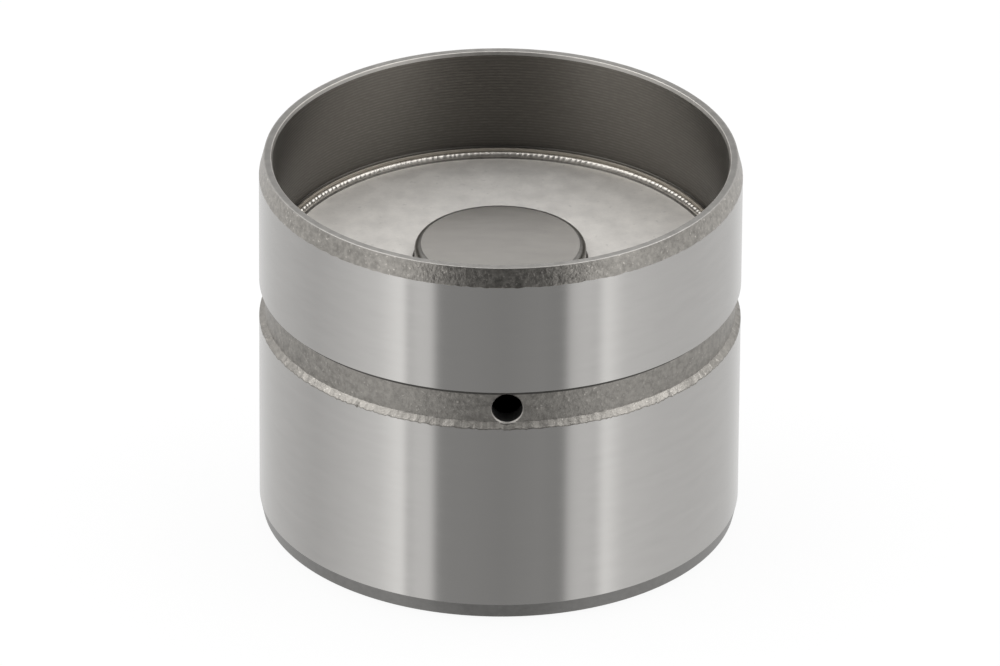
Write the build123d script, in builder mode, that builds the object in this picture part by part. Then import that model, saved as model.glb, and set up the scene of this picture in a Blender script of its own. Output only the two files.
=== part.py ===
from build123d import *
from math import radians, sin, sqrt, tan
import os

# Hydraulic bucket tappet, in millimetres, as it lies on a bench: cam face down, open skirt up.
# The origin is the centre of the cam face, and +Z runs along the axis towards the valve.
# Heights are measured from the cam face.

# Bucket: the outer cup that slides in the cylinder head
body_diameter = 32.0
body_height = 26.0
crown_thickness = 3.0
crown_relief = 0.6
crown_corner_radius = 1.1
pad_diameter = 17.6
skirt_wall = 0.9
reservoir_wall = 1.65
foot_chamfer_height = 1.03
foot_chamfer_width = 0.23
rim_chamfer_height = 1.27
rim_chamfer_width = 0.31
bore_chamfer_height = 0.24
bore_chamfer_width = 0.1

# Oil groove round the bucket and the feed hole in its floor
groove_top_height = 16.93
groove_floor_width = 2.34
groove_depth = 0.38
groove_slope_width = 0.36
groove_corner_chamfer = 0.2
feed_hole_diameter = 2.05
feed_hole_overrun = 0.06
feed_hole_chamfer = 0.09
feed_hole_chamfer_angle = 90.0

# Recess under the piston that lets oil pass from the reservoir into it
transfer_width = 3.2
transfer_depth = 0.5
transfer_overrun = 0.8

# Guide insert: partition plate and guide sleeve, welded into the bucket
insert_seat_height = 17.33
insert_seat_step = 0.3
insert_fit = 0.02
ledge_height = 1.55
plate_thickness = 1.0
plate_corner_radius = 0.8
guide_edge_radius = 0.12
sleeve_wall = 1.25
sleeve_foot_gap = 0.6
bead_width = 0.27
bead_height = 0.29
bead_valley_width = 0.17
bead_valley_depth = 0.07

# Inner housing: the closed cup in the middle, which presses on the valve stem
housing_diameter = 11.4
housing_face_height = 19.5
housing_floor = 2.0
housing_wall = 1.13
housing_edge_radius = 0.4
housing_mouth_chamfer = 0.25
guide_clearance = 0.03
stroke = 3.0
stroke_foot_gap = 0.5

# Retaining ring: open wire ring that stops the inner housing in the sleeve
ring_wire = 0.7
ring_groove_depth = 0.35
ring_offset = 0.95
ring_gap_angle = 32.0
ring_clearance = 0.02
ring_run_clearance = 0.12

# Piston: stands on the crown, with the check valve in its upper end
piston_clearance = 0.02
piston_wall = 1.25
piston_end_chamfer = 0.3
piston_rim = 0.6
piston_recess_depth = 1.0
valve_wall = 1.4
valve_hole_diameter = 1.9
valve_seat_diameter = 2.5
valve_seat_angle = 45.0
leak_groove_width = 0.9
leak_groove_depth = 0.15
leak_groove_offset = 3.2

# Check ball, its cap and its spring
ball_diameter = 3.0
ball_seat_gap = 0.005
ball_lift = 0.2
ball_side_clearance = 0.12
cap_sheet = 0.3
cap_bend_radius = 0.25
cap_top_gap = 0.4
cap_fit = 0.04
cap_window_width = 1.0
cap_window_depth = 1.2
cap_window_count = 3
valve_spring_wire = 0.18
valve_spring_coils = 3.0
valve_spring_length = 1.45
valve_spring_diameter = 1.38
valve_spring_clearance = 0.2

# Return spring between the cap and the inner housing
return_spring_wire = 0.7
return_spring_coils = 3.5
return_spring_clearance = 0.13

# Radii and heights worked out from the sizes above
body_radius = body_diameter / 2
skirt_bore_radius = body_radius - skirt_wall
seat_radius = skirt_bore_radius - insert_seat_step
reservoir_radius = body_radius - reservoir_wall
pad_radius = pad_diameter / 2
crown_inner_height = crown_thickness - crown_relief
groove_radius = body_radius - groove_depth
groove_floor_height = groove_top_height - groove_floor_width
groove_foot_height = groove_floor_height - groove_slope_width
feed_hole_height = groove_floor_height + feed_hole_diameter / 2 - feed_hole_overrun
ledge_top_height = insert_seat_height + ledge_height

plate_top_height = insert_seat_height + plate_thickness
plate_radius = seat_radius - insert_fit
bead_arc_height = plate_top_height + bead_height - bead_width / 2
bead_inner_radius = plate_radius - bead_width
valley_radius = bead_inner_radius - bead_valley_width
housing_radius = housing_diameter / 2
guide_radius = housing_radius + guide_clearance
sleeve_radius = guide_radius + sleeve_wall
sleeve_foot_height = crown_thickness + sleeve_foot_gap

housing_bore_radius = housing_radius - housing_wall
housing_roof_height = housing_face_height - housing_floor
housing_foot_height = crown_thickness + stroke + stroke_foot_gap
ring_height = housing_foot_height + ring_offset
ring_groove_radius = housing_radius - ring_groove_depth
ring_radius = ring_groove_radius + ring_clearance + ring_wire / 2
relief_radius = ring_radius + ring_wire / 2 + ring_run_clearance
relief_top_height = ring_height + ring_wire / 2 + ring_clearance

# The check valve is set out downwards from where the inner housing's roof ends its stroke
ball_radius = ball_diameter / 2
cage_radius = ball_radius + ball_side_clearance
dome_radius = valve_spring_diameter / 2 + valve_spring_clearance
valve_spring_radius = (valve_spring_diameter - valve_spring_wire) / 2
seat_tilt = radians(valve_seat_angle)
valve_hole_radius = valve_hole_diameter / 2
valve_seat_radius = valve_seat_diameter / 2
valve_seat_depth = (valve_seat_radius - valve_hole_radius) / tan(seat_tilt)
ball_rise = ball_radius / sin(seat_tilt) - valve_seat_radius / tan(seat_tilt) + ball_seat_gap
ball_stop_rise = ball_rise + ball_lift + sqrt(ball_radius**2 - dome_radius**2)
spring_reach = ball_radius + ball_seat_gap + valve_spring_wire / 2
spring_foot_rise = sqrt(spring_reach**2 - valve_spring_radius**2)
cap_roof_rise = ball_rise + spring_foot_rise + valve_spring_length
cap_roof_height = housing_roof_height - stroke - cap_top_gap - cap_sheet
valve_floor_height = cap_roof_height - cap_roof_rise
ball_height = valve_floor_height + ball_rise
ball_stop_height = valve_floor_height + ball_stop_rise
valve_spring_foot_height = ball_height + spring_foot_rise

piston_radius = housing_bore_radius - piston_clearance
piston_bore_radius = piston_radius - piston_wall
piston_recess_radius = piston_radius - piston_rim
piston_top_height = valve_floor_height + piston_recess_depth
leak_groove_top_height = piston_top_height - leak_groove_offset
leak_groove_foot_height = leak_groove_top_height - leak_groove_width
cap_flange_radius = piston_recess_radius - cap_fit
cap_flange_top_height = valve_floor_height + cap_sheet
return_spring_length = housing_roof_height - cap_flange_top_height
return_spring_radius = piston_recess_radius - return_spring_clearance - return_spring_wire / 2

os.makedirs("parts", exist_ok=True)

# Bucket, turned: chamfered cam face, oil groove, lead-in at the rim and a stepped bore
with BuildPart() as bucket:
    with BuildSketch(Plane.XZ):
        with BuildLine():
            Polyline(
                (0, 0),
                (body_radius - foot_chamfer_width, 0),
                (body_radius, foot_chamfer_height),
                (body_radius, groove_foot_height),
                (groove_radius, groove_floor_height),
                (groove_radius, groove_top_height),
                (body_radius, groove_top_height),
                (body_radius, body_height - rim_chamfer_height),
                (body_radius - rim_chamfer_width, body_height),
                (skirt_bore_radius + bore_chamfer_width, body_height),
                (skirt_bore_radius, body_height - bore_chamfer_height),
                (skirt_bore_radius, ledge_top_height),
                (seat_radius, ledge_top_height),
                (seat_radius, insert_seat_height),
                (reservoir_radius, insert_seat_height),
                (reservoir_radius, crown_inner_height + crown_corner_radius),
            )
            RadiusArc(
                (reservoir_radius, crown_inner_height + crown_corner_radius),
                (reservoir_radius - crown_corner_radius, crown_inner_height),
                crown_corner_radius,
            )
            Polyline(
                (reservoir_radius - crown_corner_radius, crown_inner_height),
                (pad_radius + crown_relief, crown_inner_height),
                (pad_radius, crown_thickness),
                (0, crown_thickness),
                (0, 0),
            )
        make_face()
        groove_corner = vertices().sort_by_distance((groove_radius, groove_top_height))[0]
        chamfer(groove_corner, groove_corner_chamfer)
    revolve(axis=Axis.Z)
    # The feed hole enters the reservoir through the groove's floor, at the front
    with Locations(Plane((0, -groove_radius, feed_hole_height), z_dir=(0, -1, 0))):
        CounterSinkHole(
            feed_hole_diameter / 2,
            feed_hole_diameter / 2 + feed_hole_chamfer,
            depth=reservoir_wall,
            counter_sink_angle=feed_hole_chamfer_angle,
        )
    # The transfer recess runs across the pad from the axis into the reservoir
    with BuildSketch(Plane.XY.offset(crown_thickness)):
        with Locations((0, (pad_radius + transfer_overrun) / 2)):
            SlotCenterToCenter(pad_radius + transfer_overrun, transfer_width, rotation=90)
    extrude(amount=-transfer_depth, mode=Mode.SUBTRACT)
bucket.part.label = "bucket"
export_step(bucket.part, "parts/bucket.step")

# Guide insert: flat partition plate, weld bead round its edge, and the sleeve below it
with BuildPart() as guide_insert:
    with BuildSketch(Plane.XZ):
        with BuildLine():
            # The bead is half round on a short foot, with a shallow valley inside it
            ThreePointArc(
                (plate_radius, bead_arc_height),
                (plate_radius - bead_width / 2, plate_top_height + bead_height),
                (bead_inner_radius, bead_arc_height),
            )
            Polyline(
                (bead_inner_radius, bead_arc_height),
                (bead_inner_radius, plate_top_height),
                (bead_inner_radius - bead_valley_width / 2, plate_top_height - bead_valley_depth),
                (valley_radius, plate_top_height),
                (guide_radius, plate_top_height),
                (guide_radius, relief_top_height),
                (relief_radius, relief_top_height),
                (relief_radius, sleeve_foot_height),
                (sleeve_radius, sleeve_foot_height),
                (sleeve_radius, insert_seat_height),
                (plate_radius, insert_seat_height),
                (plate_radius, bead_arc_height),
            )
        make_face()
        guide_edge = vertices().sort_by_distance((guide_radius, plate_top_height))[0]
        fillet(guide_edge, guide_edge_radius)
        plate_corner = vertices().sort_by_distance((sleeve_radius, insert_seat_height))[0]
        fillet(plate_corner, plate_corner_radius)
    revolve(axis=Axis.Z)
guide_insert.part.label = "guide_insert"
export_step(guide_insert.part, "parts/guide_insert.step")

# Inner housing: closed and rounded at the valve end, open towards the crown
with BuildPart() as inner_housing:
    with BuildSketch(Plane.XZ):
        with BuildLine():
            Polyline(
                (0, housing_roof_height),
                (0, housing_face_height),
                (housing_radius, housing_face_height),
                (housing_radius, housing_foot_height),
                (housing_bore_radius, housing_foot_height),
                (housing_bore_radius, housing_roof_height),
                (0, housing_roof_height),
            )
        make_face()
        face_edge = vertices().sort_by_distance((housing_radius, housing_face_height))[0]
        fillet(face_edge, housing_edge_radius)
        mouth = vertices().group_by(Axis.Y)[0]
        chamfer(mouth, housing_mouth_chamfer)
        # Round-bottomed groove that holds the retaining ring
        with Locations((ring_radius, ring_height)):
            Circle(ring_wire / 2 + ring_clearance, mode=Mode.SUBTRACT)
    revolve(axis=Axis.Z)
inner_housing.part.label = "inner_housing"
export_step(inner_housing.part, "parts/inner_housing.step")

# Retaining ring: round wire bent to an open ring, its gap turned to the back
with BuildPart() as retaining_ring:
    with BuildLine(Plane.XY.offset(ring_height)) as ring_path:
        CenterArc((0, 0), ring_radius, 90 + ring_gap_angle / 2, 360 - ring_gap_angle)
    with BuildSketch(Plane(ring_path.line @ 0, z_dir=ring_path.line % 0)):
        Circle(ring_wire / 2)
    sweep()
retaining_ring.part.label = "retaining_ring"
export_step(retaining_ring.part, "parts/retaining_ring.step")

# Piston: hollow, with the valve seat sunk in its upper end and a leak groove round it
with BuildPart() as piston:
    with BuildSketch(Plane.XZ):
        with BuildLine():
            Polyline(
                (valve_hole_radius, valve_floor_height - valve_wall),
                (piston_bore_radius, valve_floor_height - valve_wall),
                (piston_bore_radius, crown_thickness),
                (piston_radius - piston_end_chamfer, crown_thickness),
                (piston_radius, crown_thickness + piston_end_chamfer),
                (piston_radius, leak_groove_foot_height),
                (piston_radius - leak_groove_depth, leak_groove_foot_height),
                (piston_radius - leak_groove_depth, leak_groove_top_height),
                (piston_radius, leak_groove_top_height),
                (piston_radius, piston_top_height),
                (piston_recess_radius, piston_top_height),
                (piston_recess_radius, valve_floor_height),
                (valve_seat_radius, valve_floor_height),
                (valve_hole_radius, valve_floor_height - valve_seat_depth),
                (valve_hole_radius, valve_floor_height - valve_wall),
            )
        make_face()
    revolve(axis=Axis.Z)
piston.part.label = "piston"
export_step(piston.part, "parts/piston.step")

# Check ball, resting on the conical seat
with BuildPart() as check_ball:
    with Locations((0, 0, ball_height)):
        Sphere(ball_radius)
check_ball.part.label = "check_ball"
export_step(check_ball.part, "parts/check_ball.step")

# Valve cap: pressed sheet hat that cages the ball, with windows for the oil
with BuildPart() as valve_cap:
    with BuildSketch(Plane.XZ):
        with BuildLine():
            Polyline(
                (0, cap_roof_height),
                (dome_radius, cap_roof_height),
                (dome_radius, ball_stop_height),
                (cage_radius, ball_stop_height),
                (cage_radius, valve_floor_height),
                (cap_flange_radius, valve_floor_height),
                (cap_flange_radius, cap_flange_top_height),
                (cage_radius + cap_sheet, cap_flange_top_height),
                (cage_radius + cap_sheet, ball_stop_height + cap_sheet),
                (dome_radius + cap_sheet, ball_stop_height + cap_sheet),
                (dome_radius + cap_sheet, cap_roof_height + cap_sheet),
                (0, cap_roof_height + cap_sheet),
                (0, cap_roof_height),
            )
        make_face()
        dome_edge = vertices().sort_by_distance((dome_radius + cap_sheet, cap_roof_height + cap_sheet))[0]
        cage_edge = vertices().sort_by_distance((cage_radius + cap_sheet, ball_stop_height + cap_sheet))[0]
        fillet([dome_edge, cage_edge], cap_bend_radius)
    revolve(axis=Axis.Z)
    # Windows through the cage's side, from the flange up to the ball's stop
    with BuildSketch(Plane.XY.offset(cap_flange_top_height)):
        with PolarLocations(cage_radius, cap_window_count, start_angle=90):
            Rectangle(cap_window_depth, cap_window_width)
    extrude(amount=ball_stop_height - cap_flange_top_height, mode=Mode.SUBTRACT)
valve_cap.part.label = "valve_cap"
export_step(valve_cap.part, "parts/valve_cap.step")

# Valve spring: light coil between the ball and the roof of the cap, its top end ground flat
with BuildPart() as valve_spring:
    with BuildLine() as valve_coil:
        Helix(
            valve_spring_length / valve_spring_coils,
            valve_spring_length,
            valve_spring_radius,
            center=(0, 0, valve_spring_foot_height),
        )
    with BuildSketch(Plane(valve_coil.line @ 0, z_dir=valve_coil.line % 0)):
        Circle(valve_spring_wire / 2)
    sweep(is_frenet=True)
    split(bisect_by=Plane.XY.offset(cap_roof_height), keep=Keep.BOTTOM)
valve_spring.part.label = "valve_spring"
export_step(valve_spring.part, "parts/valve_spring.step")

# Return spring: coil with both ends ground flat, from the cap's flange to the inner housing
with BuildPart() as return_spring:
    with BuildLine() as return_coil:
        Helix(
            return_spring_length / return_spring_coils,
            return_spring_length,
            return_spring_radius,
            center=(0, 0, cap_flange_top_height),
        )
    with BuildSketch(Plane(return_coil.line @ 0, z_dir=return_coil.line % 0)):
        Circle(return_spring_wire / 2)
    sweep(is_frenet=True)
    split(bisect_by=Plane.XY.offset(cap_flange_top_height), keep=Keep.TOP)
    split(bisect_by=Plane.XY.offset(housing_roof_height), keep=Keep.BOTTOM)
return_spring.part.label = "return_spring"
export_step(return_spring.part, "parts/return_spring.step")
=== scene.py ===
from math import ceil, cos, pi, radians, sin

import bpy
import numpy as np
from mathutils import Matrix, Vector


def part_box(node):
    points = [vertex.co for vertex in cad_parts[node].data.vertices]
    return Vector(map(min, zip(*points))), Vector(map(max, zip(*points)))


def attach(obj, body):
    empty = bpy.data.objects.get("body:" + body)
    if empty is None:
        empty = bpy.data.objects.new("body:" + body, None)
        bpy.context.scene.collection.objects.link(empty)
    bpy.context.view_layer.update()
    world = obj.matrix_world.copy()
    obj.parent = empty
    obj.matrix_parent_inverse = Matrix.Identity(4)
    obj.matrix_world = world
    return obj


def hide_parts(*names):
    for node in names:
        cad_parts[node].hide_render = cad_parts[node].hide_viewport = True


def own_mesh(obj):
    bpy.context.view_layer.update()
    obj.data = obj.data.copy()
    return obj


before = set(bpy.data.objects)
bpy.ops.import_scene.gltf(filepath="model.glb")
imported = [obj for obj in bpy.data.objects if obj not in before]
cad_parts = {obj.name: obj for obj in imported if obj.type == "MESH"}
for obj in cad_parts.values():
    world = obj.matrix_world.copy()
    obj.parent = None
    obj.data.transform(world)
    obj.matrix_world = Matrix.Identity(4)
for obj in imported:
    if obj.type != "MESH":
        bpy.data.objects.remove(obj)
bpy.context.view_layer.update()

# Hydraulic bucket tappet. Sizes are in millimetres, heights are measured from the cam face,
# and what the frame can tell is read from it.
MM = 0.001


def size_of(node_name):
    """A node's outer radius, its lowest and its highest height, in millimetres."""
    low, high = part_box(node_name)
    return high.x / MM, low.z / MM, high.z / MM


BODY_RADIUS, _, BODY_HEIGHT = size_of("bucket")
PLATE_RADIUS, SLEEVE_FOOT, _ = size_of("guide_insert")
HOUSING_RADIUS, HOUSING_FOOT, HOUSING_FACE = size_of("inner_housing")

# Bucket. A chamfer is its width and its height, and a bore is its radius
FOOT_CHAMFER = (0.23, 1.03)
RIM_CHAMFER = (0.31, 1.27)
RIM_EDGE_WIDTH = 0.09
BORE_CHAMFER = (0.1, 0.24)
SKIRT_BORE = BODY_RADIUS - 0.9
SEAT_BORE = SKIRT_BORE - 0.3
RESERVOIR_BORE = BODY_RADIUS - 1.65
GROOVE_RADIUS = BODY_RADIUS - 0.38
GROOVE_TOP = 16.93
GROOVE_FLOOR = GROOVE_TOP - 2.34
GROOVE_FOOT = GROOVE_FLOOR - 0.36
GROOVE_CORNER = 0.34
SEAT_HEIGHT = 17.33
LEDGE_HEIGHT = SEAT_HEIGHT + 1.55
LEDGE_FILLET = 0.13
CROWN = 3.0
CROWN_RELIEF = 0.6
CROWN_CORNER = 1.1
PAD_RADIUS = 8.8
TRANSFER_WIDTH = 3.2
TRANSFER_DEPTH = 0.5
TRANSFER_OVERRUN = 0.8
FEED_HOLE_RADIUS = 1.025
FEED_HOLE_CHAMFER = 0.09
FEED_HOLE_OVERRUN = 0.06
FEED_HOLE_HEIGHT = GROOVE_FLOOR + FEED_HOLE_RADIUS - FEED_HOLE_OVERRUN
FEED_HOLE_DEPTH = 2.0

# Guide insert
PLATE_TOP = SEAT_HEIGHT + 1.0
BEAD_WIDTH = 0.27
BEAD_HEIGHT = 0.3
BEAD_BULGE = 0.04
VALLEY_WIDTH = 0.17
VALLEY_DEPTH = 0.09
RIPPLES = 240
RIPPLE_HEIGHT = 0.028
RIPPLE_LAG = 2.2
GUIDE_BORE = HOUSING_RADIUS + 0.03
GUIDE_EDGE = 0.12
SLEEVE_RADIUS = GUIDE_BORE + 1.25
SLEEVE_BEND = 0.8
RELIEF_BORE = 6.19
RELIEF_TOP = 7.82

# Inner housing
HOUSING_BORE = HOUSING_RADIUS - 1.13
HOUSING_ROOF = HOUSING_FACE - 2.0
HOUSING_EDGE = 0.4
RING_HEIGHT = HOUSING_FOOT + 0.95
RING_GROOVE_DEPTH = 0.35
RING_GROOVE_FLOOR = 0.2
RING_GROOVE_MOUTH = 0.37

# Springs: turns, wire radius, the height of the end that stays, and the share of its length that
# each keeps when its joint is at the end of its range
RETURN_SPRING = (3.5, 0.35, 10.296, 0.583)
VALVE_SPRING = (3.0, 0.09, 13.8, 0.862)


# Outlines, turned into surfaces


def ragged(angles, reach, fewest, most, seed):
    """An uneven line round the bucket: waves of random phase, fewest to most of them to a turn."""
    rng = np.random.default_rng(seed)
    line = np.zeros_like(angles)
    for waves in range(fewest, most, 3):
        line += np.cos(waves * angles + rng.uniform(0, 2 * pi)) * rng.uniform(0.3, 1.0)
    return line * reach / np.abs(line).max()


def unit(steps):
    return steps / np.linalg.norm(steps, axis=-1, keepdims=True)


def rounded(corners, segments, hold=0.02):
    """Rows of a turned surface from its corners: (radius, height, edge radius, material that follows).
    A radius or height may be an array that goes round the piece. Returns the rows and their materials."""
    points = [
        np.stack([np.broadcast_to(radius, segments), np.broadcast_to(height, segments)], axis=-1)
        for radius, height, _, _ in corners
    ]
    rows, steels = [], []
    for index, (_, _, edge, steel) in enumerate(corners):
        here = points[index]
        if edge == 0:
            rows.append(here)
            steels.append(steel)
            continue
        back = unit(points[index - 1] - here)
        ahead = unit(points[(index + 1) % len(points)] - here)
        turn = np.arccos(np.clip((back * ahead).sum(-1, keepdims=True), -1, 1))
        run = edge / np.tan(turn / 2)
        centre = here + unit(back + ahead) * edge / np.sin(turn / 2)
        first = here + back * run - centre
        last = here + ahead * run - centre
        sweep = pi - turn
        steps = max(3, ceil(float(sweep.max()) / radians(15)))
        rows.append(here + back * (run + hold))
        steels.append(corners[index - 1][3])
        for step in range(steps + 1):
            share = step / steps
            along = np.sin((1 - share) * sweep) * first + np.sin(share * sweep) * last
            rows.append(centre + along / np.sin(sweep))
            steels.append(steel)
        rows.append(here + ahead * (run + hold))
        steels.append(steel)
    return rows, steels


def turned(name, rows, steels, slots, closed):
    """A mesh object swept round Z through the rows. Rows on the axis become poles."""
    segments = len(rows[0])
    angles = np.arange(segments) * 2 * pi / segments
    verts, faces, tags, starts = [], [], [], []
    for row in rows:
        starts.append(len(verts))
        if row[:, 0].max() < 1e-6:
            verts.append((0.0, 0.0, row[0, 1]))
        else:
            verts.extend(zip(row[:, 0] * np.cos(angles), row[:, 0] * np.sin(angles), row[:, 1]))
    starts.append(len(verts))
    count = len(rows)
    for index in range(count if closed else count - 1):
        after = (index + 1) % count
        low, high = starts[index], starts[after]
        low_pole = starts[index + 1] - low == 1
        high_pole = starts[after + 1] - high == 1
        tags += [slots.index(steels[index])] * segments
        for side in range(segments):
            other = (side + 1) % segments
            if low_pole:
                faces.append((low, high + other, high + side))
            elif high_pole:
                faces.append((low + side, low + other, high))
            else:
                faces.append((low + side, low + other, high + other, high + side))
    return solid(name, verts, faces, slots, tags)


def solid(name, verts, faces, slots, tags=None):
    """A smooth mesh object from vertices in millimetres. Tags are the faces' places in the slots."""
    mesh = bpy.data.meshes.new(name)
    mesh.from_pydata([(x * MM, y * MM, z * MM) for x, y, z in verts], [], faces)
    for material in slots:
        mesh.materials.append(material)
    mesh.polygons.foreach_set("use_smooth", [True] * len(faces))
    if tags is not None:
        mesh.polygons.foreach_set("material_index", tags)
    mesh.update()
    made = bpy.data.objects.new(name, mesh)
    bpy.context.scene.collection.objects.link(made)
    return made


def tube(name, path, radius, material, sides=20):
    """A round wire along a path of points."""
    path = np.asarray(path)
    along = unit(np.gradient(path, axis=0))
    outward = unit(path * (1, 1, 0))
    upward = np.cross(along, outward)
    outward = np.cross(upward, along)
    turn = np.arange(sides) * 2 * pi / sides
    out_share = np.cos(turn)[None, :, None]
    up_share = np.sin(turn)[None, :, None]
    rings = path[:, None] + radius * (out_share * outward[:, None] + up_share * upward[:, None])
    verts = rings.reshape(-1, 3)
    faces = []
    for ring in range(len(path) - 1):
        for side in range(sides):
            other = (side + 1) % sides
            low, high = ring * sides, (ring + 1) * sides
            faces.append((low + side, high + side, high + other, low + other))
    faces.append(tuple(range(sides)))
    faces.append(tuple(reversed(range(len(verts) - sides, len(verts)))))
    return solid(name, verts, faces, [material])


def cut(piece, cutter):
    """Takes the cutter out of the piece and removes the cutter."""
    boolean = piece.modifiers.new("cut", "BOOLEAN")
    boolean.operation = "DIFFERENCE"
    boolean.solver = "EXACT"
    boolean.object = cutter
    bpy.context.view_layer.update()
    evaluated = piece.evaluated_get(bpy.context.evaluated_depsgraph_get())
    cut_mesh = bpy.data.meshes.new_from_object(evaluated)
    piece.modifiers.clear()
    piece.data = cut_mesh
    bpy.data.objects.remove(cutter)


# Materials


def node(tree, kind, inputs=(), output=0, **settings):
    """Adds a shader node. An input is a number, a colour or another node's output."""
    made = tree.nodes.new("ShaderNode" + kind)
    for setting, value in settings.items():
        setattr(made, setting, value)
    for socket, value in dict(inputs).items():
        if isinstance(value, bpy.types.NodeSocket):
            tree.links.new(value, made.inputs[socket])
        else:
            made.inputs[socket].default_value = value
    return made.outputs[output] if made.outputs else made


def position(tree):
    """The place on the object, in its own coordinates."""
    return node(tree, "TexCoord", output=3)


def grain(tree, per_mm, detail=3.0, roughness=0.55):
    """Noise from 0 to 1, with so many features to a millimetre along X, Y and Z."""
    scaled = node(tree, "Mapping", {"Vector": position(tree), "Scale": [n / MM for n in per_mm]})
    sockets = {"Vector": scaled, "Scale": 1.0, "Detail": detail, "Roughness": roughness}
    return node(tree, "TexNoise", sockets)


def lathe_marks(tree, pitch):
    """Rings of a millimetre pitch along Z, from 0 to 1, slightly uneven."""
    scaled = node(tree, "Mapping", {"Vector": position(tree), "Scale": (0.3 / MM, 0.3 / MM, 1 / MM)})
    sockets = {
        "Vector": scaled,
        "Scale": pi / (10 * pitch),
        "Distortion": 1.6,
        "Detail": 2.0,
        "Detail Scale": 1.2,
    }
    return node(tree, "TexWave", sockets, 1, wave_type="BANDS", bands_direction="Z")


def between(tree, value, low, high, to_low, to_high):
    """Stretches a value from one range to another, and holds it there."""
    sockets = {"Value": value, "From Min": low, "From Max": high, "To Min": to_low, "To Max": to_high}
    return node(tree, "MapRange", sockets)


def maths(tree, operation, *values):
    return node(tree, "Math", dict(enumerate(values)), operation=operation)


def height_above_face(tree):
    """Height above the cam face in millimetres."""
    height = node(tree, "SeparateXYZ", {"Vector": position(tree)}, 2)
    return maths(tree, "DIVIDE", height, MM)


def distance_from_axis(tree):
    """Distance from the axis in millimetres."""
    flat = node(tree, "VectorMath", {0: position(tree), 1: (1, 1, 0)}, operation="MULTIPLY")
    distance = node(tree, "VectorMath", {0: flat}, 1, operation="LENGTH")
    return maths(tree, "DIVIDE", distance, MM)


def shade(grey, warmth):
    """A grey whose green and blue fall off by a share, as steel's do."""
    return grey, grey * (1 - 0.4 * warmth), grey * (1 - warmth), 1


def tinted(tree, colour, share, other):
    """Mixes a share of another colour into a colour."""
    sockets = {"Factor": share, "A": colour, "B": other}
    return node(tree, "Mix", sockets, 2, data_type="RGBA")


def bumped(tree, surface, heights, depth):
    """Adds heights of a depth in millimetres to a surface, which is None while it is smooth."""
    sockets = {"Height": heights, "Distance": depth * MM, "Strength": 1.0}
    if surface:
        sockets["Normal"] = surface
    return node(tree, "Bump", sockets)


def metal(
    name,
    greys,
    roughness,
    mottle,
    relief=None,
    warmth=0.035,
    anisotropy=0.0,
    specks=None,
    turning=None,
    painted_shade=None,
):
    """A metal, with grains given as features to a millimetre along X, Y and Z.
    Mottle is the grain that mixes the two greys and the two roughnesses.
    Relief is a grain and its depth in millimetres.
    Specks are the grain, share and grey of small bright points.
    Turning is the pitch and depth of a lathe's marks, and the share by which they darken.
    Painted shade is a measure of place, its values where the colour is painted darkest and where it
    keeps its full brightness, and the share by which the painted shade darkens it."""
    material = bpy.data.materials.new(name)
    material.use_nodes = True
    tree = material.node_tree
    tree.nodes.clear()
    surface = None
    patches = between(tree, grain(tree, mottle, 5.0, 0.7), 0.35, 0.65, 0.0, 1.0)
    colour = tinted(tree, shade(greys[0], warmth), patches, shade(greys[1], warmth))
    if specks:
        per_mm, share, grey = specks
        spots = between(tree, grain(tree, per_mm, 1.0), 1 - share, 1 - share / 2, 0.0, 1.0)
        colour = tinted(tree, colour, spots, shade(grey, warmth))
    if relief:
        per_mm, depth = relief
        surface = bumped(tree, surface, grain(tree, per_mm), depth)
    if turning:
        pitch, depth, darkening = turning
        marks = lathe_marks(tree, pitch)
        shown = between(tree, marks, 0.0, 1.0, 1.0, 0.0)
        colour = tinted(tree, colour, shown, shade(greys[0] * (1 - darkening), warmth))
        surface = bumped(tree, surface, marks, depth)
    # Painted shade: the colour darkens by place, by up to the given share, standing in for shade
    if painted_shade:
        measure, most_shaded, full, share = painted_shade
        level = between(tree, measure(tree), most_shaded, full, share, 0.0)
        colour = tinted(tree, colour, level, (0, 0, 0, 1))
    sockets = {
        "Base Color": colour,
        "Metallic": 1.0,
        "Roughness": between(tree, patches, 0.0, 1.0, *roughness),
        "Anisotropic": anisotropy,
    }
    if anisotropy:
        # The marks run round the piece, so the gloss spreads across them
        sockets["Anisotropic Rotation"] = 0.25
        sockets["Tangent"] = node(tree, "Tangent", direction_type="RADIAL", axis="Z")
    if surface:
        sockets["Normal"] = surface
    node(tree, "OutputMaterial", {"Surface": node(tree, "BsdfPrincipled", sockets)})
    return material


def even(per_mm):
    """A grain that is the same in all directions."""
    return per_mm, per_mm, per_mm


ground = metal(
    "ground_steel",
    greys=(0.55, 0.57),
    roughness=(0.17, 0.19),
    mottle=(0.3, 0.3, 1.5),
    relief=((0.6, 0.6, 9.0), 0.0002),
    warmth=0.05,
    anisotropy=0.93,
)
face = metal(
    "cam_face_steel",
    greys=(0.52, 0.56),
    roughness=(0.22, 0.27),
    mottle=even(0.3),
    relief=(even(8.0), 0.0005),
)
foot = metal(
    "foot_steel",
    greys=(0.28, 0.33),
    roughness=(0.34, 0.42),
    mottle=even(2.0),
    relief=(even(6.0), 0.003),
    warmth=0.05,
)
etched = metal(
    "etched_steel",
    greys=(0.27, 0.44),
    roughness=(0.38, 0.5),
    mottle=even(2.4),
    relief=(even(5.0), 0.035),
    warmth=0.115,
    specks=(even(5.0), 0.35, 0.66),
)
slope = metal(
    "etched_edge",
    greys=(0.26, 0.37),
    roughness=(0.34, 0.44),
    mottle=even(2.6),
    relief=(even(7.0), 0.02),
    warmth=0.12,
    specks=(even(6.0), 0.36, 0.6),
)
chamfer = metal(
    "etched_chamfer",
    greys=(0.31, 0.5),
    roughness=(0.3, 0.38),
    mottle=even(2.6),
    relief=(even(5.0), 0.03),
    warmth=0.12,
    specks=(even(4.5), 0.35, 0.85),
)
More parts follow.
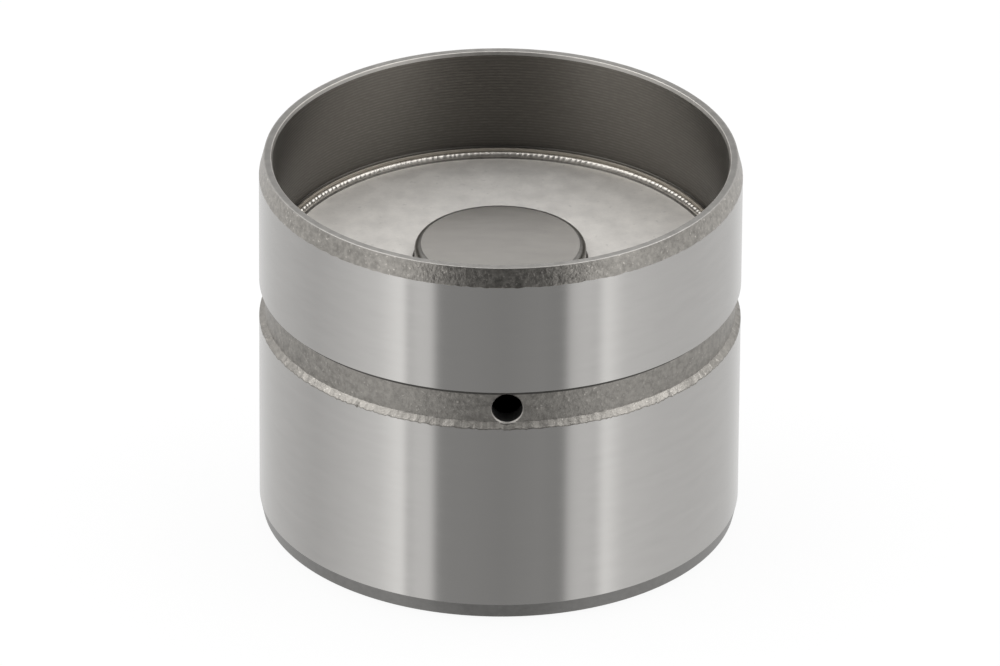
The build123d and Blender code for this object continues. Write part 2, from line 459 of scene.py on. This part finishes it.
# Painted shade: the groove's top corner, under the land's overhang, is painted nearly black
corner_shade = metal(
    "groove_corner_shade",
    greys=(0.1, 0.15),
    roughness=(0.45, 0.55),
    mottle=even(3.0),
    warmth=0.1,
)
rim = metal(
    "rim_steel",
    greys=(0.34, 0.4),
    roughness=(0.38, 0.46),
    mottle=even(1.5),
    relief=(even(6.0), 0.001),
    warmth=0.08,
    anisotropy=0.6,
)
rim_edge = metal(
    "rim_edge_steel",
    greys=(0.44, 0.52),
    roughness=(0.36, 0.44),
    mottle=even(1.5),
    warmth=0.08,
    anisotropy=0.6,
)
bore_edge = metal(
    "bore_edge_steel",
    greys=(0.52, 0.58),
    roughness=(0.4, 0.46),
    mottle=even(1.5),
    warmth=0.1,
)
# Painted shade: greys darker than steel's, and painted shade darker by up to half towards the ledge
bore = metal(
    "bore_steel_painted_shade",
    greys=(0.18, 0.24),
    roughness=(0.36, 0.42),
    mottle=(2.2, 2.2, 7.0),
    relief=((2.2, 2.2, 7.0), 0.006),
    warmth=0.15,
    anisotropy=0.8,
    turning=(0.215, 0.006, 0.03),
    painted_shade=(height_above_face, 18.9, 25.5, 0.5),
)
ledge = metal(
    "ledge_steel",
    greys=(0.34, 0.42),
    roughness=(0.42, 0.5),
    mottle=even(2.0),
    relief=(even(5.0), 0.003),
    warmth=0.2,
)
inside = metal(
    "turned_steel",
    greys=(0.3, 0.38),
    roughness=(0.35, 0.45),
    mottle=(1.0, 1.0, 4.0),
    relief=((0.3, 0.3, 6.0), 0.01),
)
# Painted shade: the feed hole's wall is painted nearly black, standing in for the dark inside the hole
drilled_shade = metal(
    "drilled_steel_painted_shade",
    greys=(0.07, 0.1),
    roughness=(0.8, 0.9),
    mottle=even(2.0),
)
# Painted light and shade: greys lighter than steel's, and painted shade darker towards the middle
plate = metal(
    "plate_steel_painted_light",
    greys=(0.8, 0.9),
    roughness=(0.57, 0.61),
    mottle=even(0.7),
    relief=(even(5.0), 0.004),
    warmth=0.07,
    specks=(even(2.2), 0.32, 0.72),
    painted_shade=(distance_from_axis, 9.0, 14.2, 0.14),
)
bead = metal(
    "weld_steel",
    greys=(0.5, 0.58),
    roughness=(0.28, 0.38),
    mottle=even(3.0),
    warmth=0.12,
)
# Painted shade: the small groove beside the weld bead and the guide bore's rounded edge are painted dark
valley_shade = metal(
    "weld_edge_painted_shade",
    greys=(0.2, 0.3),
    roughness=(0.4, 0.5),
    mottle=even(3.0),
    warmth=0.12,
)
lapped = metal(
    "lapped_steel",
    greys=(0.53, 0.575),
    roughness=(0.26, 0.27),
    mottle=(0.3, 0.9, 0.9),
    relief=(even(5.0), 0.0006),
    warmth=0.1,
)
# Painted shade: the inner housing's side, in the narrow gap round it, is painted darker than its steel
flank_shade = metal(
    "flank_steel_painted_shade",
    greys=(0.2, 0.26),
    roughness=(0.3, 0.36),
    mottle=even(2.0),
    warmth=0.1,
)
ball = metal(
    "ball_steel",
    greys=(0.66, 0.7),
    roughness=(0.06, 0.1),
    mottle=even(2.0),
    warmth=0.0,
)
wire = metal(
    "spring_wire",
    greys=(0.36, 0.44),
    roughness=(0.28, 0.36),
    mottle=even(2.0),
    relief=(even(6.0), 0.002),
)
sheet = metal(
    "cap_sheet_steel",
    greys=(0.5, 0.58),
    roughness=(0.28, 0.36),
    mottle=even(1.5),
    relief=(even(5.0), 0.002),
)


# Bucket

BUCKET_STEELS = [
    face,
    foot,
    ground,
    slope,
    etched,
    corner_shade,
    chamfer,
    rim_edge,
    rim,
    bore_edge,
    bore,
    ledge,
    inside,
    drilled_shade,
]


def make_bucket():
    segments = 640
    angles = np.arange(segments) * 2 * pi / segments
    foot_line = GROOVE_FOOT + ragged(angles, 0.11, 9, 300, seed=3)
    floor_line = GROOVE_FLOOR + ragged(angles, 0.06, 12, 210, seed=4)
    chamfer_line = BODY_HEIGHT - RIM_CHAMFER[1] + ragged(angles, 0.06, 9, 180, seed=5)
    corners = [
        (0, 0, 0, face),
        (BODY_RADIUS - FOOT_CHAMFER[0], 0, 0.06, foot),
        (BODY_RADIUS, FOOT_CHAMFER[1], 0.05, ground),
        (BODY_RADIUS, foot_line, 0.1, slope),
        (GROOVE_RADIUS, floor_line, 0.06, etched),
        (GROOVE_RADIUS, GROOVE_TOP, GROOVE_CORNER, corner_shade),
        (BODY_RADIUS, GROOVE_TOP, 0.03, ground),
        (BODY_RADIUS, chamfer_line, 0.1, chamfer),
        (BODY_RADIUS - RIM_CHAMFER[0], BODY_HEIGHT, 0.04, rim_edge),
        (BODY_RADIUS - RIM_CHAMFER[0] - RIM_EDGE_WIDTH, BODY_HEIGHT, 0, rim),
        (SKIRT_BORE + BORE_CHAMFER[0], BODY_HEIGHT, 0.06, bore_edge),
        (SKIRT_BORE, BODY_HEIGHT - BORE_CHAMFER[1], 0.06, bore),
        (SKIRT_BORE, LEDGE_HEIGHT, 0.12, bore),
        (SKIRT_BORE - LEDGE_FILLET, LEDGE_HEIGHT, 0, ledge),
        (SEAT_BORE, LEDGE_HEIGHT, 0.04, ledge),
        (SEAT_BORE, SEAT_HEIGHT, 0, inside),
        (RESERVOIR_BORE, SEAT_HEIGHT, 0.05, inside),
        (RESERVOIR_BORE, CROWN - CROWN_RELIEF, CROWN_CORNER, inside),
        (PAD_RADIUS + CROWN_RELIEF, CROWN - CROWN_RELIEF, 0.1, inside),
        (PAD_RADIUS, CROWN, 0.1, inside),
        (0, CROWN, 0, inside),
    ]
    rows, steels = rounded(corners, segments)
    bucket = turned("bucket_body", rows, steels, BUCKET_STEELS, closed=False)
    cut(bucket, feed_drill())
    cut(bucket, transfer_cutter())
    bucket.data.set_sharp_from_angle(angle=radians(35))
    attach(bucket, "root")
    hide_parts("bucket")


def feed_drill():
    """The feed hole's cutter, which points to the front through the groove's floor."""
    wide = FEED_HOLE_RADIUS + FEED_HOLE_CHAMFER
    tip = GROOVE_RADIUS - FEED_HOLE_DEPTH
    clear = BODY_RADIUS + 1
    corners = [
        (0, tip, 0, drilled_shade),
        (FEED_HOLE_RADIUS, tip, 0, drilled_shade),
        (FEED_HOLE_RADIUS, GROOVE_RADIUS - FEED_HOLE_CHAMFER, 0, bore_edge),
        (wide, GROOVE_RADIUS, 0, bore_edge),
        (wide, clear, 0, bore_edge),
        (0, clear, 0, bore_edge),
    ]
    rows, steels = rounded(corners, 96)
    drill = turned("feed_drill", rows, steels, BUCKET_STEELS, closed=False)
    to_front = Matrix.Rotation(pi / 2, 4, "X")
    drill.data.transform(Matrix.Translation((0, 0, FEED_HOLE_HEIGHT * MM)) @ to_front)
    return drill


def transfer_cutter():
    """The cutter of the recess that lets oil pass across the crown's pad into the piston."""
    length = PAD_RADIUS + TRANSFER_OVERRUN
    half = TRANSFER_WIDTH / 2
    turns = np.linspace(0, pi, 13)
    outline = [(half * cos(turn), length + half * sin(turn)) for turn in turns]
    outline += [(-half * cos(turn), -half * sin(turn)) for turn in turns]
    count = len(outline)
    heights = (CROWN - TRANSFER_DEPTH, CROWN + TRANSFER_DEPTH)
    verts = [(x, y, z) for z in heights for x, y in outline]
    faces = [tuple(reversed(range(count))), tuple(range(count, 2 * count))]
    for side in range(count):
        other = (side + 1) % count
        faces.append((side, other, count + other, count + side))
    tags = [BUCKET_STEELS.index(inside)] * len(faces)
    return solid("transfer_cutter", verts, faces, BUCKET_STEELS, tags)


# Guide insert with its rippled weld bead


def make_insert():
    segments = RIPPLES * 7
    angles = np.arange(segments) * 2 * pi / segments
    rng = np.random.default_rng(11)
    lumps = np.append(rng.uniform(0.45, 1.0, RIPPLES), 0)
    lumps[-1] = lumps[0]
    jitter = ragged(angles, 1.8, 20, 110, seed=12)
    swell = np.interp(angles, np.linspace(0, 2 * pi, RIPPLES + 1), lumps)
    rows, steels = [], []

    def row(radius, height, steel):
        pair = [np.broadcast_to(radius, segments), np.broadcast_to(height, segments)]
        rows.append(np.stack(pair, axis=-1))
        steels.append(steel)

    # Up the outside, then down over the bead, which leans on the bucket. Each ripple is a lump that lags
    # towards the plate
    row(PLATE_RADIUS, SEAT_HEIGHT, plate)
    row(PLATE_RADIUS, PLATE_TOP, bead)
    row(SEAT_BORE, PLATE_TOP + 0.7 * BEAD_HEIGHT, bead)
    inner = PLATE_RADIUS - BEAD_WIDTH
    across = 14
    for step in range(across + 1):
        down = step / across
        phase = RIPPLES * angles + jitter - RIPPLE_LAG * down
        lump = swell * (0.5 - 0.5 * np.cos(phase)) ** 0.6
        fall = 1 - down**1.3
        bulge = (BEAD_BULGE + RIPPLE_HEIGHT * lump) * sin(pi * min(1, 0.15 + down * 0.85))
        row(
            SEAT_BORE - (SEAT_BORE - inner) * down - bulge,
            PLATE_TOP + BEAD_HEIGHT * fall + bulge,
            bead if step < across - 1 else valley_shade,
        )
    row(inner - 0.35 * VALLEY_WIDTH, PLATE_TOP - VALLEY_DEPTH, valley_shade)
    row(inner - 0.65 * VALLEY_WIDTH, PLATE_TOP - VALLEY_DEPTH, valley_shade)
    row(inner - VALLEY_WIDTH, PLATE_TOP, plate)
    row(inner - VALLEY_WIDTH - 0.03, PLATE_TOP, plate)
    # In to the guide bore, down the sleeve and back out under the plate
    hold = GUIDE_EDGE + 0.04
    row(GUIDE_BORE + hold, PLATE_TOP, plate)
    for turn in np.linspace(0, pi / 2, 5):
        out, up = GUIDE_EDGE - GUIDE_EDGE * sin(turn), GUIDE_EDGE - GUIDE_EDGE * cos(turn)
        row(GUIDE_BORE + out, PLATE_TOP - up, valley_shade)
    row(GUIDE_BORE, PLATE_TOP - hold, inside)
    row(GUIDE_BORE, RELIEF_TOP, inside)
    row(RELIEF_BORE, RELIEF_TOP, inside)
    row(RELIEF_BORE, SLEEVE_FOOT, inside)
    row(SLEEVE_RADIUS, SLEEVE_FOOT, inside)
    for turn in np.linspace(0, pi / 2, 6):
        out, down = SLEEVE_BEND - SLEEVE_BEND * cos(turn), SLEEVE_BEND - SLEEVE_BEND * sin(turn)
        row(SLEEVE_RADIUS + out, SEAT_HEIGHT - down, inside)
    slots = [plate, bead, valley_shade, inside]
    insert = turned("guide_insert_body", rows, steels, slots, closed=True)
    insert.data.set_sharp_from_angle(angle=radians(50))
    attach(insert, "root")
    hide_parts("guide_insert")


# Inner housing


def make_housing():
    groove_radius = HOUSING_RADIUS - RING_GROOVE_DEPTH
    corners = [
        (0, HOUSING_ROOF, 0, inside),
        (HOUSING_BORE, HOUSING_ROOF, 0.2, inside),
        (HOUSING_BORE, HOUSING_FOOT, 0.08, inside),
        (HOUSING_RADIUS, HOUSING_FOOT, 0.2, lapped),
        (HOUSING_RADIUS, RING_HEIGHT - RING_GROOVE_MOUTH, 0, lapped),
        (groove_radius, RING_HEIGHT - RING_GROOVE_FLOOR, 0, lapped),
        (groove_radius, RING_HEIGHT + RING_GROOVE_FLOOR, 0, lapped),
        (HOUSING_RADIUS, RING_HEIGHT + RING_GROOVE_MOUTH, 0, flank_shade),
        (HOUSING_RADIUS, HOUSING_FACE, HOUSING_EDGE, flank_shade),
        (HOUSING_RADIUS - HOUSING_EDGE - 0.03, HOUSING_FACE, 0, lapped),
        (0, HOUSING_FACE, 0, lapped),
    ]
    rows, steels = rounded(corners, 512)
    housing = turned("inner_housing_body", rows, steels, [lapped, inside, flank_shade], closed=False)
    housing.data.set_sharp_from_angle(angle=radians(40))
    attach(housing, "inner_housing_body")
    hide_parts("inner_housing")


# Springs, wound to the size of their CAD nodes


def make_spring(name, node_name, sizes):
    coils, wire_radius, fixed_height, keep = sizes
    outer, low, high = size_of(node_name)
    mean = outer - wire_radius
    turns = np.linspace(0, coils, ceil(coils * 60) + 1)
    rise = low + wire_radius + (high - low - 2 * wire_radius) * turns / coils
    path = np.stack([mean * np.cos(turns * 2 * pi), mean * np.sin(turns * 2 * pi), rise], axis=-1)
    spring = tube(name, path, wire_radius, wire)
    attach(spring, "root")
    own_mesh(spring)
    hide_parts(node_name)


make_bucket()
make_insert()
make_housing()
make_spring("return_spring_coil", "return_spring", RETURN_SPRING)
make_spring("valve_spring_coil", "valve_spring", VALVE_SPRING)

# The other pieces keep the CAD model's meshes
KEPT_FINISHES = {"retaining_ring": wire, "piston": lapped, "check_ball": ball, "valve_cap": sheet}
for node_name, finish in KEPT_FINISHES.items():
    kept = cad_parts[node_name]
    kept.data.materials.clear()
    kept.data.materials.append(finish)


# Camera, as the photograph was taken: a long lens, looking down on the tappet


def add_camera():
    elevation = radians(28.36)
    azimuth = radians(-1.9)
    distance = 914.29
    target = Vector((0, 0, BODY_HEIGHT / 2))
    back = Vector((sin(azimuth) * cos(elevation), -cos(azimuth) * cos(elevation), sin(elevation)))
    lens = bpy.data.cameras.new("camera")
    lens.sensor_width = 36.0
    lens.lens = 494.9
    lens.shift_x = 0.00015
    lens.shift_y = -0.0032
    lens.clip_start = 0.01
    lens.clip_end = 20.0
    camera = bpy.data.objects.new("camera", lens)
    tilt = radians(0.4)
    camera.matrix_world = (
        Matrix.Translation((target + back * distance) * MM)
        @ back.to_track_quat("Z", "Y").to_matrix().to_4x4()
        @ Matrix.Rotation(tilt, 4, "Z")
    )
    bpy.context.scene.collection.objects.link(camera)
    bpy.context.scene.camera = camera


# Studio: pale walls with a dark gap at the camera, a bright ceiling, and a pale floor that keeps the shadow

# The studio's colour, which its brightness multiplies
STUDIO = (0.8, 0.8, 0.8, 1)

# Azimuth from the front in degrees, positive to the right, and the wall's brightness there
WALLS = (
    (-180, 1.06),
    (-160, 1.0),
    (-140, 0.88),
    (-100, 0.75),
    (-80, 0.93),
    (-62, 1.11),
    (-49, 1.5),
    (-46, 0.7),
    (-43, 1.02),
    (-35, 1.12),
    (-31.5, 0.48),
    (-18, 0.48),
    (0, 0.45),
    (18, 0.49),
    (29, 0.44),
    (32, 0.96),
    (36, 1.04),
    (42, 0.98),
    (44, 0.86),
    (46, 0.88),
    (50, 1.44),
    (60, 1.02),
    (80, 0.93),
    (105, 0.88),
    (140, 0.9),
    (160, 1.04),
    (180, 1.12),
)

# Elevation in degrees, and how much of its brightness the wall keeps there
FADE = ((-90, 0.12), (-70, 0.35), (-55, 0.8), (-40, 1.0), (90, 1.0))

# The walls' upper part, which takes over between these elevations
UPPER_WALLS = (
    (-180, 0.35),
    (-170, 0.4),
    (-160, 0.9),
    (-145, 1.2),
    (-120, 1.1),
    (-100, 0.9),
    (-80, 0.75),
    (-62, 0.97),
    (-50, 1.35),
    (-40, 1.2),
    (-35, 0.7),
    (-29, 0.12),
    (0, 0.08),
    (29, 0.12),
    (35, 0.7),
    (40, 1.2),
    (50, 1.35),
    (62, 0.97),
    (80, 0.75),
    (100, 0.9),
    (120, 1.1),
    (145, 1.2),
    (160, 0.9),
    (170, 0.4),
    (180, 0.35),
)
UPPER_SIDES = (-26, -8)

# Below the walls the studio evens out to this level, by this share, between these elevations
LOW = 0.5
LOW_SHARE = 0.85
LOW_SIDES = (-60, -42)

CEILING = 1.3
CEILING_SIDES = (15, 50)

# Above the camera the ceiling is darker by a share, which ends between these sideways angles and
# between these places from the front, -1, to the back, 1
CEILING_GAP = 0.78
CEILING_GAP_SIDES = (16, 38)
CEILING_GAP_ENDS = (-0.15, 0.3)

# Floor, in millimetres. Its paper takes the shadow, and its light keeps it white
FLOOR_HALF = 3000
FLOOR_HEIGHT = -0.02
PAPER = (0.95, 0.95, 0.95, 1)
WHITE_SHARE = 0.9

# Lamps: square sheets of light, a little behind the tappet, with their distance and size in metres
LAMP_ELEVATION = 60
LAMP_SET_BACK = 0.05
LAMP_DISTANCE = 0.5
LAMP_SIZE = 0.4
LAMP_POWER = 0.9


def curve(tree, value, low, high, stops):
    """Turns a value into a brightness that runs straight from stop to stop."""
    shown = node(tree, "ValToRGB", {"Fac": between(tree, value, low, high, 0.0, 1.0)})
    ramp = shown.node.color_ramp
    while len(ramp.elements) > 1:
        ramp.elements.remove(ramp.elements[0])
    for index, (place, level) in enumerate(stops):
        stop = ramp.elements[0] if index == 0 else ramp.elements.new(1.0)
        stop.position = (place - low) / (high - low)
        stop.color = (level, level, level, 1)
    return shown


def seeing_rays(tree):
    """1 for a ray that shows the floor, to the camera, in a reflection or through glass, else 0."""
    path = node(tree, "LightPath").node.outputs
    mirrored = maths(tree, "MAXIMUM", path["Is Glossy Ray"], path["Is Transmission Ray"])
    return maths(tree, "MAXIMUM", path["Is Camera Ray"], mirrored)


def blended(tree, share, level, other):
    """Mixes a share of another level into a level."""
    return node(tree, "Mix", {"Factor": share, "A": level, "B": other})


def walls_level(tree, azimuth, elevation):
    """Brightness of the walls and of what is below them."""
    fade = curve(tree, elevation, -90, 90, FADE)
    lower = maths(tree, "MULTIPLY", curve(tree, azimuth, -180, 180, WALLS), fade)
    upper = curve(tree, azimuth, -180, 180, UPPER_WALLS)
    level = blended(tree, between(tree, elevation, *UPPER_SIDES, 0.0, 1.0), lower, upper)
    return blended(tree, between(tree, elevation, *LOW_SIDES, LOW_SHARE, 0.0), level, LOW)


def ceiling_level(tree, across, towards_back):
    """Brightness of the ceiling, with the gap above the camera."""
    sideways = maths(tree, "DEGREES", maths(tree, "ARCSINE", maths(tree, "ABSOLUTE", across)))
    gap = between(tree, sideways, *CEILING_GAP_SIDES, CEILING_GAP, 0.0)
    gap = maths(tree, "MULTIPLY", gap, between(tree, towards_back, *CEILING_GAP_ENDS, 1.0, 0.0))
    return maths(tree, "SUBTRACT", CEILING, maths(tree, "MULTIPLY", gap, CEILING))


def add_world():
    world = bpy.data.worlds.new("studio")
    bpy.context.scene.world = world
    world.use_nodes = True
    tree = world.node_tree
    tree.nodes.clear()
    towards = node(tree, "SeparateXYZ", {"Vector": node(tree, "TexCoord")}).node.outputs
    front = maths(tree, "MULTIPLY", towards["Y"], -1.0)
    azimuth = maths(tree, "DEGREES", maths(tree, "ARCTAN2", towards["X"], front))
    elevation = maths(tree, "DEGREES", maths(tree, "ARCSINE", towards["Z"]))
    walls = walls_level(tree, azimuth, elevation)
    ceiling = ceiling_level(tree, towards["X"], towards["Y"])
    level = blended(tree, between(tree, elevation, *CEILING_SIDES, 0.0, 1.0), walls, ceiling)
    light = node(tree, "Background", {"Color": STUDIO, "Strength": level})
    node(tree, "OutputWorld", {"Surface": light})


def add_floor():
    material = bpy.data.materials.new("floor")
    material.use_nodes = True
    tree = material.node_tree
    tree.nodes.clear()
    paper = node(tree, "BsdfDiffuse", {"Color": PAPER})
    white = node(tree, "Emission", {"Color": (1, 1, 1, 1), "Strength": 1.0})
    share = maths(tree, "MULTIPLY", seeing_rays(tree), WHITE_SHARE)
    above = node(tree, "MixShader", {0: share, 1: paper, 2: white})
    # From below the floor is clear, so that the cam face can be seen
    underneath = node(tree, "NewGeometry").node.outputs["Backfacing"]
    clear = node(tree, "BsdfTransparent")
    shown = node(tree, "MixShader", {0: underneath, 1: above, 2: clear})
    node(tree, "OutputMaterial", {"Surface": shown})
    signs = ((-1, -1), (1, -1), (1, 1), (-1, 1))
    corners = [(x * FLOOR_HALF, y * FLOOR_HALF, FLOOR_HEIGHT) for x, y in signs]
    floor = solid("floor", corners, [(0, 1, 2, 3)], [material])
    # The photograph's steel mirrors a far studio where the floor would be
    floor.visible_glossy = False


def add_lamp(name, side):
    """A square sheet of light, high up at the left, -1, or the right, 1."""
    lamp = bpy.data.lights.new(name, "AREA")
    lamp.shape = "SQUARE"
    lamp.size = LAMP_SIZE
    lamp.energy = LAMP_POWER
    tilt = radians(LAMP_ELEVATION)
    towards = Vector((side * cos(tilt), LAMP_SET_BACK, sin(tilt))).normalized()
    aim = towards.to_track_quat("Z", "Y").to_matrix().to_4x4()
    made = bpy.data.objects.new(name, lamp)
    made.matrix_world = Matrix.Translation(towards * LAMP_DISTANCE) @ aim
    bpy.context.scene.collection.objects.link(made)


add_camera()
add_world()
add_floor()
add_lamp("left_lamp", -1)
add_lamp("right_lamp", 1)

bpy.context.scene.view_settings.view_transform = "Standard"
